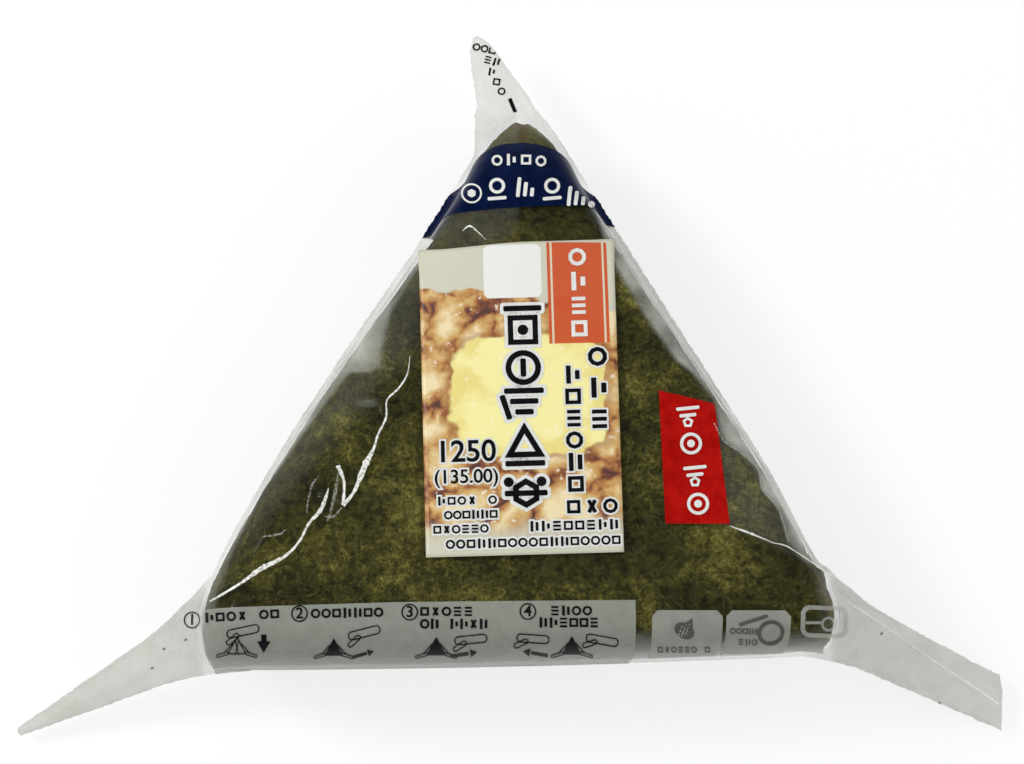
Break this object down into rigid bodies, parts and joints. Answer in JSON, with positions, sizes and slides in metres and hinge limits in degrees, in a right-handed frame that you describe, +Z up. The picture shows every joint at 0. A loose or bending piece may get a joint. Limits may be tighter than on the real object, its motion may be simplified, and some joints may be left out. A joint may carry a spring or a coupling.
{
  "type": "wrapped rice ball",
  "caption": "Triangular seaweed-wrapped rice ball sealed in clear film, with a peak tab, two twisted film ears and a paper label, lying on its back.",
  "frame": {"origin": "middle of the flat back that it lies on, 30 mm from the base edge", "axes": "+X to the right along the base edge, +Y from the base edge towards the peak, +Z up, out of the labelled front"},
  "size_m": [0.1482, 0.1066, 0.0349],
  "materials": {
    "clear_film": "clear soft film, gathered and creased, over dark green seaweed",
    "label_paper": "printed paper label in cream, orange and yellow"
  },
  "bodies": {
    "root": {"film_pack": "clear_film", "label": "label_paper"}
  },
  "joints": []
}
